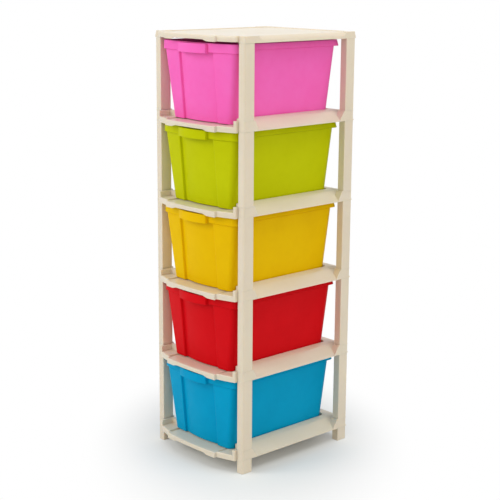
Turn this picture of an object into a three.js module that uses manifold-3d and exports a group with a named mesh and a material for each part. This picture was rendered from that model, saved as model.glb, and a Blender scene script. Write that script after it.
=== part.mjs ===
// Five-drawer storage tower in moulded plastic: slotted trays and box posts stacked in tiers,
// with one tapered bin on each tray. Millimetres, +Z up, front towards -Y.
import * as THREE from 'three';
import { mergeVertices } from 'three/addons/utils/BufferGeometryUtils.js';
import Module from 'manifold-3d';

const wasm = await Module();
wasm.setup();

// Whole unit
const width = 300; // over the outer faces of the posts
const depth = 340; // over the front and rear faces of the posts
const tierPitch = 186; // from one tray's underside to the next one's
const footHeight = 32; // floor to the lowest tray's underside
const topHeight = 15; // thickness of the top frame

// Clearances
const seatGap = 0.3; // between a spigot and its socket, and at each post's shoulders
const slideGap = 0.3; // between a bin's foot and the runners it slides on
const stopGap = 0.5; // between a closed bin and the rear rail
const overrun = 5; // how far a cutting body runs past the face it cuts

// Box posts and feet
const postWidth = 18.5; // left to right
const postDepth = 29; // front to rear
const postRadius = 4.5; // vertical edge at the unit's outer corner
const postWall = 1.8;
const spigotLength = 8.5;
const footChamfer = 1.5;

// Corner blocks of the trays and of the top frame
const blockHeight = 23.5;
const blockRun = 3.6; // how far a block runs on past its post along the side
const gussetRun = 12; // extra length of a front block at its foot
const socketWall = 2.2;
const beadHeight = 1.2; // thin line round the top and the foot of a block
const beadProud = 0.6;

// Trays
const runnerHeight = 14; // of the strips that carry the bin, above the underside
const channelDrop = 1.2; // the floor between the strips lies this much lower
const runnerWidth = 15.5; // of each strip, inwards from its side rail
const shellWall = 2;
const railHeight = 24;
const railWidth = 47.5; // of each side rail, inwards from the outer face
const crownWidth = 7.5; // its level crown, outwards to where the side apron starts to fall
const crownBlend = 8; // length of the blend from the crown to the apron
const apronEdge = 1.8; // upright edge at the apron's foot
const railSetback = 10; // the rails start this far behind the posts' front face
const rearRail = 29.5; // depth of the rail behind the bin
const rearFall = 3.5; // fall of its top towards the rear
const pocketRadius = 12; // inner corners where the side and rear rails meet
const ribWall = 1.5;
const ribsAcross = 3;
const ribsAlong = 2; // between the two under the side rails

// Front lip, the same in plan on the trays and on the top frame
const lipEndReach = 7.3; // in front of the posts, at the lip's ends
const lipReach = 30.5; // at the middle
const tabInner = 47; // half width between the slanted inner ends of the two tabs
const tabSlant = 13; // width of each slant
const tabOuter = 84; // half width to the tabs' square outer ends
const tabProud = 1.2; // from there outwards the lip stands back by this much
const lipEdge = 4; // rounding of the lip's upper edge
const middleDrop = 0.8; // the lip hangs this far below the underside, between the tabs
const tabDrop = 4.4; // at the tabs
const endDrop = 3.2; // beyond the tabs

// Top frame
const topApronInset = 12; // the rolled apron comes in by this much from foot to top
const topBlockRun = 13; // how far its front blocks run on past their posts
const topGussetRun = 15; // and how much longer their feet are
const topRimWidth = 7;
const topRimHeight = 2;
const topTabDrop = 0.8; // its tabs hang this far below it
const topRelief = 3.2; // height of the finger relief in its lip

// Bins
const binSideGap = 3.5; // to each side rail, at the foot
const binTopGap = 0.6; // below the tabs of the tray above
const binWall = 1.8;
const binFloor = 2;
const binFootEdge = 2; // chamfer round the foot
const binCorner = 14;
const binPostGap = 6; // from the rim's widest place to the posts
const binFrontFoot = 8; // front corners behind the posts' front face, at the foot
const binFrontLean = 11; // forward lean of the front wall
const binRearLean = 4;
const footBow = 3.5; // forward bow of the front wall at its foot
const topBow = 10; // the same at its top
const panelHalf = 57; // half width of the sunk middle panel of the front
const panelSink = 8.5; // its depth at its edges
const panelBow = 8; // its own bow, edges to middle
const rimProud = 4.5; // foot of the rim beyond the side and rear walls
const rimFlare = 2.5; // the rim leans in by this much from its foot to its top
const bandProud = 1.5; // beyond the front wall
const rimHeight = 15.5; // at the sides and the rear
const bandHeight = 20; // at the front
const bandRun = 26; // the deeper front band turns this far round the corners
const rimWall = 1.6;
const rimEdge = 1.5; // chamfer round the rim's upper edge
const pullHalf = 46;
const pullProud = 7.5; // beyond the rim, at the pull's ends
const pullBow = 6; // its own bow, more than the rim's
const pullDrop = 1.5; // below the front band

// Counts
const tierColours = ['#1c9fc9', '#d2202c', '#e3bd12', '#bcc51f', '#f06ac0']; // lowest bin first
const cornerSteps = 3; // segments of a rounded edge
const edgeSteps = 3; // segments of the lip's rounded upper edge
const bowSteps = 4; // segments of each bowed stretch

// Places that follow from the sizes
const tierCount = tierColours.length;
const halfWidth = width / 2;
const halfDepth = depth / 2;
const postInner = halfWidth - postWidth;
const trayFoot = (tier) => footHeight + tier * tierPitch;
const stopFace = halfDepth - rearRail; // the rear rail's front face
const railInner = halfWidth - railWidth; // half the width between the side rails
const channelHalf = railInner - runnerWidth;
const crownOuter = railInner + crownWidth;
const binFootHalf = railInner - binSideGap; // half the width of a bin at its foot
const binTopHalf = postInner - binPostGap - rimProud; // and of its walls at the top
const railStart = -halfDepth + railSetback;

// Finishes
const ivory = new THREE.MeshStandardMaterial({ color: '#e2d8c6', roughness: 0.45, metalness: 0 });
const binFinishes = tierColours.map(
  (colour) => new THREE.MeshStandardMaterial({ color: colour, roughness: 0.38, metalness: 0 }),
);

// Turns a closed geometry into a solid that can be joined and cut.
function solid(geometry) {
  const bare = geometry.index ? geometry.toNonIndexed() : geometry.clone();
  bare.deleteAttribute('normal');
  bare.deleteAttribute('uv');
  const welded = mergeVertices(bare);
  return new wasm.Manifold(
    new wasm.Mesh({
      numProp: 3,
      vertProperties: new Float32Array(welded.attributes.position.array),
      triVerts: new Uint32Array(welded.index.array),
    }),
  );
}

// Turns a solid into a named mesh.
function piece(name, body, material) {
  const { vertProperties, triVerts } = body.getMesh();
  const geometry = new THREE.BufferGeometry();
  geometry.setAttribute('position', new THREE.BufferAttribute(vertProperties, 3));
  geometry.setIndex(new THREE.BufferAttribute(triVerts, 1));
  geometry.computeVertexNormals();
  const mesh = new THREE.Mesh(geometry, material);
  mesh.name = name;
  return mesh;
}

const join = (bodies) => bodies.reduce((whole, body) => whole.add(body));

function block([x0, x1], [y0, y1], [z0, z1]) {
  const geometry = new THREE.BoxGeometry(x1 - x0, y1 - y0, z1 - z0);
  return solid(geometry.translate((x0 + x1) / 2, (y0 + y1) / 2, (z0 + z1) / 2));
}

// Upright prism on a plan outline.
function prism(outline, foot, top) {
  const options = { depth: top - foot, bevelEnabled: false };
  return solid(new THREE.ExtrudeGeometry(new THREE.Shape(outline), options).translate(0, 0, foot));
}

// Prism that runs front to rear on an outline given in X and Z.
function beam(points, front, rear) {
  const shape = new THREE.Shape(points.map(([x, z]) => new THREE.Vector2(x, z)));
  const options = { depth: rear - front, bevelEnabled: false };
  return solid(new THREE.ExtrudeGeometry(shape, options).rotateX(Math.PI / 2).translate(0, rear, 0));
}

// Prism that runs left to right on an outline given in Y and Z.
function crossBeam(points, left, right) {
  return beam(points.map(([y, z]) => [y, z]), -right, -left).rotate([0, 0, 90]);
}

// Quarter turn of points about a centre, from a start angle in quarter turns.
function quarterArc(x, y, radius, start) {
  return Array.from({ length: cornerSteps + 1 }, (_, i) => {
    const turn = (start + i / cornerSteps) * (Math.PI / 2);
    return new THREE.Vector2(x + radius * Math.cos(turn), y + radius * Math.sin(turn));
  });
}

// Rectangle with its own radius at each corner, counter-clockwise from the low corner.
// A radius of zero leaves the corner sharp.
function roundedPlan([x0, x1], [y0, y1], radii) {
  const centres = [
    [x0, y0, 1, 1],
    [x1, y0, -1, 1],
    [x1, y1, -1, -1],
    [x0, y1, 1, -1],
  ];
  return centres.flatMap(([x, y, dx, dy], index) => {
    const radius = radii[index];
    if (radius <= 0) return [new THREE.Vector2(x, y)];
    return quarterArc(x + dx * radius, y + dy * radius, radius, index + 2);
  });
}

// Body through a stack of outlines with equal numbers of points, one outline for each height.
function loft(rings) {
  const first = rings[0].outline;
  const options = { depth: rings.length - 1, steps: rings.length - 1, bevelEnabled: false };
  const geometry = new THREE.ExtrudeGeometry(new THREE.Shape(first), options);
  const place = geometry.attributes.position;
  const nearest = (x, y) => {
    let best = 0;
    first.forEach((point, index) => {
      const reach = Math.hypot(point.x - x, point.y - y);
      if (reach < Math.hypot(first[best].x - x, first[best].y - y)) best = index;
    });
    return best;
  };
  for (let i = 0; i < place.count; i += 1) {
    const ring = rings[Math.round(place.getZ(i))];
    const point = ring.outline[nearest(place.getX(i), place.getY(i))];
    place.setXYZ(i, point.x, point.y, ring.height);
  }
  return solid(geometry);
}

const mix = (from, to, share) => from + (to - from) * share;
const mirrorX = (points) => points.map((point) => new THREE.Vector2(-point.x, point.y)).reverse();

// How far in front of the posts the lip's bow lies, at a place along it.
const lipBow = (x) => mix(lipReach, lipEndReach, (x / postInner) ** 2);

// Front line of the lip, left to right, set back by an inset for its inner face.
function lipLine(inset) {
  const bowed = (from, to, back) =>
    Array.from({ length: bowSteps + 1 }, (_, i) => {
      const x = mix(from, to, i / bowSteps);
      return new THREE.Vector2(x, inset + back - halfDepth - lipBow(x));
    });
  const right = [
    ...bowed(0, tabOuter - inset, 0),
    ...bowed(tabOuter - inset, postInner - inset, tabProud),
  ];
  return [...mirrorX(right.slice(1)), ...right];
}

// Plan of the lip, from its front line back to a straight line inside the tray.
function lipPlan(inset, back) {
  const line = lipLine(inset);
  const end = line[line.length - 1].x;
  return [...line, new THREE.Vector2(end, back), new THREE.Vector2(-end, back)];
}

// The lip's body, with a rounded upper edge.
function lipBody(foot, top, back) {
  const rise = (i) => (i / edgeSteps) * (Math.PI / 2);
  const rings = Array.from({ length: edgeSteps + 1 }, (_, i) => ({
    height: top - lipEdge + lipEdge * Math.sin(rise(i)),
    outline: lipPlan(lipEdge - lipEdge * Math.cos(rise(i)), back),
  }));
  return loft([{ height: foot, outline: lipPlan(0, back) }, ...rings]);
}

// What is cut from the foot of the lip: the middle, up to a height, and the ends beyond the tabs.
function lipRelief(foot, middle, ends) {
  const outline = [
    [-tabInner - tabSlant, foot - overrun],
    [tabInner + tabSlant, foot - overrun],
    [tabInner + tabSlant, foot],
    [tabInner, middle],
    [-tabInner, middle],
    [-tabInner - tabSlant, foot],
  ];
  const front = -halfDepth - lipReach - overrun;
  const end = (x0, x1) => block([x0, x1], [front, railStart], [foot - overrun, ends]);
  return join([
    beam(outline, front, railStart),
    end(-postInner - overrun, -tabOuter),
    end(tabOuter, postInner + overrun),
  ]);
}

// Each corner as signs of X and Y.
const corners = [
  { name: 'front_left', x: -1, y: -1 },
  { name: 'front_right', x: 1, y: -1 },
  { name: 'rear_right', x: 1, y: 1 },
  { name: 'rear_left', x: -1, y: 1 },
];

// Section of a corner piece drawn for the rear right corner, inset on all sides.
function cornerPlan(inset, run = 0) {
  return roundedPlan(
    [postInner + inset, halfWidth - inset],
    [halfDepth - postDepth - run + inset, halfDepth - inset],
    [0, 0, inset > 0 ? 0 : postRadius, 0],
  );
}

// Sets a body drawn for the rear right corner at any corner.
function atCorner(body, corner) {
  const placed = corner.x < 0 ? body.mirror([1, 0, 0]) : body;
  return corner.y < 0 ? placed.mirror([0, 1, 0]) : placed;
}

// Thin line round a block, drawn for the rear right corner.
function bead(foot, run) {
  const plan = roundedPlan(
    [postInner, halfWidth + beadProud],
    [halfDepth - postDepth - run, halfDepth + beadProud],
    [0, 0, postRadius, 0],
  );
  return prism(plan, foot, foot + beadHeight);
}

// Long foot of a front block, drawn for the rear right corner.
function gusset(height, run, reach) {
  const start = halfDepth - postDepth - run;
  const outline = [
    [start, 0],
    [start, height],
    [start - reach, 0],
  ];
  const inner = halfWidth - socketWall;
  return crossBeam(outline, inner, halfWidth);
}

// Corner blocks with their sockets cut: from below, and from above where the tier goes on.
function cornerBlocks(height, goesOn, frontRun, frontReach) {
  const lines = goesOn ? [0, height - beadHeight] : [0];
  return corners.map((corner) => {
    const run = corner.y < 0 ? frontRun : blockRun;
    const solids = [prism(cornerPlan(0, run), 0, height), ...lines.map((line) => bead(line, run))];
    if (corner.y < 0) solids.push(gusset(height - beadHeight, run, frontReach));
    return atCorner(join(solids), corner);
  });
}

function sockets(height, goesOn) {
  const deep = spigotLength + seatGap;
  const hole = cornerPlan(socketWall);
  const cuts = [prism(hole, -overrun, deep)];
  if (goesOn) cuts.push(prism(hole, height - deep, height + overrun));
  return join(corners.map((corner) => atCorner(join(cuts), corner)));
}

// Ribs under a deck: cross ribs between the side rails, long ribs front to rear.
function ribs(top) {
  const spread = (count, low, high) =>
    Array.from({ length: count }, (_, i) => mix(low, high, (i + 1) / (count + 1)));
  const across = spread(ribsAcross, railStart, halfDepth).map((y) =>
    block([-railInner, railInner], [y - ribWall / 2, y + ribWall / 2], [0, top]),
  );
  const along = [...spread(ribsAlong, -railInner, railInner), -railInner, railInner].map((x) =>
    block([x - ribWall / 2, x + ribWall / 2], [railStart, halfDepth], [0, top]),
  );
  return join([...across, ...along]);
}

// Half outline of a tray's side, crown to foot, moved in by an inset.
function apronLine(inset) {
  const blendFall = (crownBlend * crownBlend) / (halfWidth - crownOuter);
  const crown = railHeight - inset;
  return [
    [crownOuter - crownBlend / 2 - inset / 2, crown],
    [crownOuter + crownBlend / 2 - inset / 2, crown - blendFall],
    [halfWidth - inset, apronEdge],
  ];
}

// Tray: deck, side and rear rails, front lip, corner blocks, ribbed and open below.
function tray() {
  const back = railStart + overrun;
  const lipFoot = -tabDrop;
  const ceiling = runnerHeight - channelDrop - shellWall;
  const side = apronLine(0);
  const full = [[halfWidth, 0], ...[...side].reverse()];
  const outline = [...full, ...[...full].reverse().map(([x, z]) => [-x, z])];
  const pocket = (inset) =>
    prism(
      roundedPlan(
        [-railInner - inset, railInner + inset],
        [-halfDepth - lipReach - overrun, stopFace + inset],
        [0, 0, pocketRadius, pocketRadius],
      ),
      runnerHeight - inset,
      railHeight + overrun,
    );
  const slope = crossBeam(
    [
      [stopFace, railHeight],
      [halfDepth + overrun, railHeight - rearFall * ((halfDepth + overrun - stopFace) / rearRail)],
      [halfDepth + overrun, railHeight + overrun],
      [stopFace, railHeight + overrun],
    ],
    -halfWidth - overrun,
    halfWidth + overrun,
  );
  const channel = block(
    [-channelHalf, channelHalf],
    [-halfDepth - lipReach - overrun, stopFace],
    [runnerHeight - channelDrop, railHeight],
  );
  const outer = beam(outline, railStart, halfDepth)
    .add(lipBody(lipFoot, runnerHeight, back))
    .subtract(lipRelief(lipFoot, -middleDrop, -endDrop))
    .subtract(block([-halfWidth, halfWidth], [-halfDepth - seatGap, halfDepth], [lipFoot - overrun, 0]))
    .subtract(pocket(0))
    .subtract(channel)
    .subtract(slope);
  const under = apronLine(shellWall);
  const low = [[halfWidth - shellWall, -overrun], ...[...under].reverse()];
  const hollowOutline = [...low, ...[...low].reverse().map(([x, z]) => [-x, z])];
  const rearLower = block(
    [-halfWidth, halfWidth],
    [stopFace - shellWall, halfDepth],
    [railHeight - rearFall - shellWall, railHeight + overrun],
  );
  const hollow = beam(hollowOutline, railStart + shellWall, halfDepth - shellWall)
    .subtract(pocket(shellWall + channelDrop))
    .subtract(rearLower)
    .add(prism(lipPlan(shellWall, back), lipFoot - overrun, ceiling))
    .subtract(ribs(railHeight));
  const blocks = join(cornerBlocks(blockHeight, true, blockRun, gussetRun));
  return outer.subtract(hollow).add(blocks).subtract(sockets(blockHeight, true));
}

// Top frame: the lid of the stack, with a shallow rim round its deck.
function topFrame() {
  const back = railStart + overrun;
  const deck = topHeight - topRimHeight;
  const ceiling = deck - shellWall;
  const roll = Array.from({ length: edgeSteps + 1 }, (_, i) => {
    const turn = (i / edgeSteps) * (Math.PI / 2);
    const x = halfWidth - topApronInset + topApronInset * Math.cos(turn);
    return [x, apronEdge + (topHeight - apronEdge) * Math.sin(turn)];
  });
  const half = [[halfWidth, 0], ...roll];
  const outline = [...half, ...[...half].reverse().map(([x, z]) => [-x, z])];
  const rimInner = halfWidth - topApronInset - topRimWidth;
  const wellBack = halfDepth - topRimWidth;
  const frontWell = postInner - topRimWidth;
  const well = [
    ...lipLine(topRimWidth),
    new THREE.Vector2(frontWell, -halfDepth + topRimWidth),
    new THREE.Vector2(rimInner, -halfDepth + topRimWidth),
    new THREE.Vector2(rimInner, wellBack),
    new THREE.Vector2(-rimInner, wellBack),
    new THREE.Vector2(-rimInner, -halfDepth + topRimWidth),
    new THREE.Vector2(-frontWell, -halfDepth + topRimWidth),
  ];
  const hollowHalf = [
    [halfWidth - shellWall, -overrun],
    [halfWidth - shellWall, apronEdge],
    [halfWidth - topApronInset - shellWall, ceiling],
  ];
  const hollowOutline = [...hollowHalf, ...[...hollowHalf].reverse().map(([x, z]) => [-x, z])];
  const hollow = beam(hollowOutline, railStart + shellWall, halfDepth - shellWall)
    .add(prism(lipPlan(shellWall, back), -overrun, ceiling))
    .subtract(ribs(topHeight));
  return beam(outline, -halfDepth, halfDepth)
    .add(lipBody(-topTabDrop, topHeight, back))
    .subtract(lipRelief(-topTabDrop, topRelief, 0))
    .subtract(block([-halfWidth, halfWidth], [-halfDepth - seatGap, halfDepth], [-overrun, 0]))
    .subtract(hollow)
    .add(join(cornerBlocks(topHeight, false, topBlockRun, topGussetRun)))
    .subtract(prism(well, deck, topHeight + overrun))
    .subtract(sockets(topHeight, false));
}

// Post between two tiers, drawn for the rear right corner: a box tube with a spigot at each end.
function post(foot, top) {
  const inset = socketWall + seatGap;
  return prism(cornerPlan(0), foot, top)
    .add(prism(cornerPlan(inset), foot - spigotLength, top + spigotLength))
    .subtract(prism(cornerPlan(inset + postWall), foot - spigotLength - overrun, top + spigotLength + overrun))
    .subtract(prism(cornerPlan(postWall), foot + postWall, top - postWall));
}

// Foot, drawn for the rear right corner: closed below, hollow through its spigot.
function foot() {
  const shoulder = footHeight - seatGap;
  const inset = socketWall + seatGap;
  const base = cornerPlan(0);
  const middle = { x: halfWidth - postWidth / 2, y: halfDepth - postDepth / 2 };
  const sole = base.map(
    ({ x, y }) =>
      new THREE.Vector2(
        mix(x, middle.x, (2 * footChamfer) / postWidth),
        mix(y, middle.y, (2 * footChamfer) / postDepth),
      ),
  );
  return loft([
    { height: 0, outline: sole },
    { height: footChamfer, outline: base },
    { height: shoulder, outline: base },
  ])
    .add(prism(cornerPlan(inset), shoulder - overrun, shoulder + spigotLength))
    .subtract(prism(cornerPlan(inset + postWall), postWall + footChamfer, footHeight + spigotLength + overrun));
}

// Height of a bin, foot to rim
const binHeight = tierPitch - runnerHeight - slideGap - tabDrop - binTopGap;

// Plan of a bin at a share of its height, grown outwards at the front and at the other walls.
function binPlan(share, grow, frontGrow, sunk) {
  const side = mix(binFootHalf, binTopHalf, share) + grow;
  const front = -halfDepth + binFrontFoot - mix(0, binFrontLean, share) - frontGrow;
  const rear = mix(stopFace - stopGap, stopFace - stopGap + binRearLean, share) + grow;
  const radius = binCorner + grow;
  const straight = side - radius;
  const bow = mix(footBow, topBow, share);
  const outer = (x) => front - bow * (1 - (x / straight) ** 2);
  const stretch = (from, to, steps, line) =>
    Array.from({ length: steps + 1 }, (_, i) => {
      const x = mix(from, to, i / steps);
      return new THREE.Vector2(x, line(x));
    });
  const panel = panelHalf - grow;
  const panelLine = (x) => outer(panel) + panelSink - panelBow * (1 - (x / panel) ** 2);
  const face = sunk
    ? [
        ...stretch(-straight, -panel, 2, outer).slice(1),
        ...stretch(-panel, panel, 2 * bowSteps, panelLine),
        ...stretch(panel, straight, 2, outer).slice(0, -1),
      ]
    : stretch(-straight, straight, 2 * bowSteps, outer).slice(1, -1);
  return [
    ...quarterArc(-straight, front + radius, radius, 2),
    ...face,
    ...quarterArc(straight, front + radius, radius, 3),
    ...quarterArc(straight, rear - radius, radius, 0),
    ...quarterArc(-straight, rear - radius, radius, 1),
  ];
}

const wallPlan = (share, grow = 0) => binPlan(share, grow, grow, true);
const rimPlan = (grow, frontGrow) => binPlan(1, rimProud + grow, bandProud + frontGrow, false);

// Plan of the pull: a stretch of the rim that bows further forward.
function pullPlan(grow) {
  const front = -halfDepth + binFrontFoot - binFrontLean - bandProud - topBow;
  const half = pullHalf + grow;
  const line = Array.from({ length: 2 * bowSteps + 1 }, (_, i) => {
    const x = mix(-half, half, i / (2 * bowSteps));
    const bow = (pullBow + topBow * (pullHalf / railInner) ** 2) * (1 - (x / pullHalf) ** 2);
    const ends = front + topBow * (pullHalf / railInner) ** 2 - pullProud;
    return new THREE.Vector2(x, ends - bow - grow);
  });
  const back = front + topBow;
  return [...line, new THREE.Vector2(half, back), new THREE.Vector2(-half, back)];
}

// Bin: tapered tub with a sunk front panel, a turned-down rim and a pull moulded in it.
function bin() {
  const walls = loft([
    { height: 0, outline: wallPlan(0, -binFootEdge) },
    { height: binFootEdge, outline: wallPlan(binFootEdge / binHeight) },
    { height: binHeight - rimEdge, outline: wallPlan(1 - rimEdge / binHeight) },
  ]);
  const inside = loft([
    { height: binFloor, outline: wallPlan(binFloor / binHeight, -binWall) },
    { height: binHeight + overrun, outline: wallPlan(1 + overrun / binHeight, -binWall) },
  ]);
  const band = loft([
    { height: binHeight - bandHeight, outline: rimPlan(0, 0) },
    { height: binHeight - rimEdge, outline: rimPlan(-rimFlare, 0) },
    { height: binHeight, outline: rimPlan(-rimFlare - rimEdge, -rimEdge) },
  ]);
  const behindBand = block(
    [-halfWidth, halfWidth],
    [-halfDepth + binFrontFoot - binFrontLean + bandRun, halfDepth],
    [binHeight - bandHeight - overrun, binHeight - rimHeight],
  );
  const pullFoot = binHeight - bandHeight - pullDrop;
  const gutter = loft([
    { height: pullFoot, outline: rimPlan(-rimWall, -rimWall) },
    { height: binHeight - rimWall, outline: rimPlan(-rimFlare - rimWall, -rimWall) },
  ]);
  const pull = prism(pullPlan(0), pullFoot, binHeight - rimEdge);
  const pullHollow = prism(pullPlan(-rimWall), pullFoot - overrun, binHeight - rimEdge - rimWall);
  return join([band.subtract(behindBand), pull])
    .subtract(gutter)
    .subtract(pullHollow)
    .add(walls)
    .subtract(inside);
}

// The unit, moved back so that its origin lies under the middle of its whole depth.
const unit = new THREE.Group();
unit.position.y = (lipReach - beadProud) / 2;

for (const corner of corners) {
  unit.add(piece(`foot_${corner.name}`, atCorner(foot(), corner), ivory));
}

for (let tier = 0; tier < tierCount; tier += 1) {
  const level = new THREE.Group();
  level.position.z = trayFoot(tier);
  level.add(piece(`tray_${tier + 1}`, tray(), ivory));
  for (const corner of corners) {
    const tube = post(blockHeight + seatGap, tierPitch - seatGap);
    level.add(piece(`post_${tier + 1}_${corner.name}`, atCorner(tube, corner), ivory));
  }
  const tub = piece(`drawer_${tier + 1}`, bin(), binFinishes[tier]);
  tub.position.z = runnerHeight + slideGap;
  level.add(tub);
  unit.add(level);
}

const lid = piece('top_frame', topFrame(), ivory);
lid.position.z = trayFoot(tierCount);
unit.add(lid);

export default unit;
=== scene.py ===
"""Plastic drawer unit: five moulded trays on box posts, each with a tapered bin as its drawer.

Sizes are millimetres in the unit's own frame: X to the right, Y to the rear and Z up, with the
middle of the posts' footprint on the Z axis. Finished meshes are metres in the row's frame.
"""

import logging
import math
from dataclasses import dataclass
from enum import Enum
from functools import cache
from typing import Callable, Sequence, Union

import bmesh
import bpy
import numpy as np
from mathutils import Matrix, Vector


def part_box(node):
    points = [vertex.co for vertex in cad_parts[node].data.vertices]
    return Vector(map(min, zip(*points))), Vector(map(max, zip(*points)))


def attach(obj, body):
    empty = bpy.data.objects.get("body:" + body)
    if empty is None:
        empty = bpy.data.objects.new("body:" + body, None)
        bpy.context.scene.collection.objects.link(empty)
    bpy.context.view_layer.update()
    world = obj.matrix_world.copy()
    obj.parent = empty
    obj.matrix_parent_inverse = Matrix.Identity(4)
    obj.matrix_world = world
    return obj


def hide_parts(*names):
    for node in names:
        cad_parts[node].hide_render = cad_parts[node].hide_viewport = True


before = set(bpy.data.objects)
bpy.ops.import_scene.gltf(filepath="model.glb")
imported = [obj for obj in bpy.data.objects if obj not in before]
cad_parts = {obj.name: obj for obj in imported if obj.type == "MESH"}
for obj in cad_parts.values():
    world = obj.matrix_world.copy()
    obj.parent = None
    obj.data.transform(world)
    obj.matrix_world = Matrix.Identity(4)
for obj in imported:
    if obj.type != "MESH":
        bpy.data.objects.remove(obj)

LOG = logging.getLogger("drawer_unit")
# Body of the model that every piece but the bins moves with.
FIXED = "frame"
MM = 0.001
# Cutting bodies pass what they cut by the overrun. Some reach from below to above, or start
# ahead of the posts' front, by distances that lie clear of every lip and rail.
OVERRUN = 5.0
BELOW, ABOVE, AHEAD = -20.0, 30.0, 60.0
# Least step between places that must differ, and the distance under which points are one.
FINE = 0.01
WELD = 0.004
FLAT_ANGLE = math.radians(0.2)
SMOOTH_ANGLE = math.radians(34)
# Least cosine that lengthens the shift of a corner when its outline is moved in.
SHARPEST = 0.5
NOISE_MEAN = 0.5
WHITE = (1, 1, 1, 1)

Points = np.ndarray
Level = tuple[float, float]
Span = tuple[float, float]
Place = tuple[float, float, float]


class Combine(Enum):
    """How two bodies are put together."""

    JOIN = "UNION"
    CUT = "DIFFERENCE"
    SHARE = "INTERSECT"


class Way(Enum):
    """The axis along which a bar runs, as the places of X, Y and Z in its outline and run."""

    ACROSS = (2, 0, 1)
    ALONG = (0, 2, 1)
    UP = (0, 1, 2)


def mix(start: float, end: float, share: float) -> float:
    """Value at a share of the way from start to end."""
    return start + (end - start) * share


def fillet(corners: Sequence[Place], steps: int = 4, closed: bool = True) -> Points:
    """Polygon or open line with its corners rounded.

    Args:
        corners: each corner's two places and its radius, counter-clockwise.
        steps: segments of each round.
        closed: False for an open line, whose two ends stay as they are.

    Returns:
        The outline's points, one row each.
    """
    made: list[Points] = []
    places = np.array([corner[:2] for corner in corners], float)
    for index, (x, y, radius) in enumerate(corners):
        at_end = not closed and index in (0, len(corners) - 1)
        if radius <= 0 or at_end:
            made.append(np.array([[x, y]]))
            continue
        here = places[index]
        back = places[index - 1] - here
        on = places[(index + 1) % len(corners)] - here
        back, on = back / np.linalg.norm(back), on / np.linalg.norm(on)
        half = math.acos(float(np.clip(back @ on, -1, 1))) / 2
        bisector = (back + on) / np.linalg.norm(back + on)
        centre = here + bisector * radius / math.sin(half)
        first = here + back * radius / math.tan(half) - centre
        last = here + on * radius / math.tan(half) - centre
        turn = math.atan2(first[0] * last[1] - first[1] * last[0], first @ last)
        angles = np.linspace(0, turn, steps + 1)
        across = np.array([-first[1], first[0]])
        made.append(centre + np.outer(np.cos(angles), first) + np.outer(np.sin(angles), across))
    return np.concatenate(made)


def rectangle(x: Span, y: Span, radii: Sequence[float] = (0, 0, 0, 0), steps: int = 4) -> Points:
    """Rectangle with a radius for each corner, from the low corner counter-clockwise."""
    corners = [(x[0], y[0]), (x[1], y[0]), (x[1], y[1]), (x[0], y[1])]
    return fillet([(*corner, radius) for corner, radius in zip(corners, radii)], steps)


def inset(outline: Points, distance: float) -> Points:
    """Outline moved in on all sides.

    Args:
        outline: closed and counter-clockwise.
        distance: by which it moves in, or out where it is negative.

    Returns:
        As many points as the outline has.
    """
    edge = np.roll(outline, -1, axis=0) - outline
    edge = edge / np.linalg.norm(edge, axis=1)[:, None]
    outward = np.column_stack([edge[:, 1], -edge[:, 0]])
    normal = outward + np.roll(outward, 1, axis=0)
    normal = normal / np.linalg.norm(normal, axis=1)[:, None]
    lean = np.clip(np.sum(normal * outward, axis=1), SHARPEST, 1)
    return outline - normal * (distance / lean)[:, None]


def rounding(
    height: float, radius: float, rising: bool, base: float = 0.0, steps: int = 4,
) -> list[Level]:
    """Levels of a rounded edge, each a height and an inset.

    Args:
        height: of the flat face that the edge ends or starts.
        radius: of the edge, or zero for a sharp one.
        rising: True where the flat face is below and the body widens upwards.
        base: inset of the upright face beside the edge.
        steps: segments of the round.

    Returns:
        The levels from the lowest to the highest.
    """
    if radius <= 0:
        return [(height, base)]
    levels = [
        (height + radius * (1 - math.cos(turn)), base + radius * (1 - math.sin(turn)))
        for turn in np.linspace(0, math.pi / 2, steps + 1)
    ]
    if rising:
        return levels
    return [(2 * height - level, depth) for level, depth in reversed(levels)]


def ring(outline: Points, height: Union[float, Points]) -> Points:
    """Outline lifted to a height, or to one height for each of its points."""
    return np.column_stack([outline, np.broadcast_to(height, len(outline))])


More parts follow.
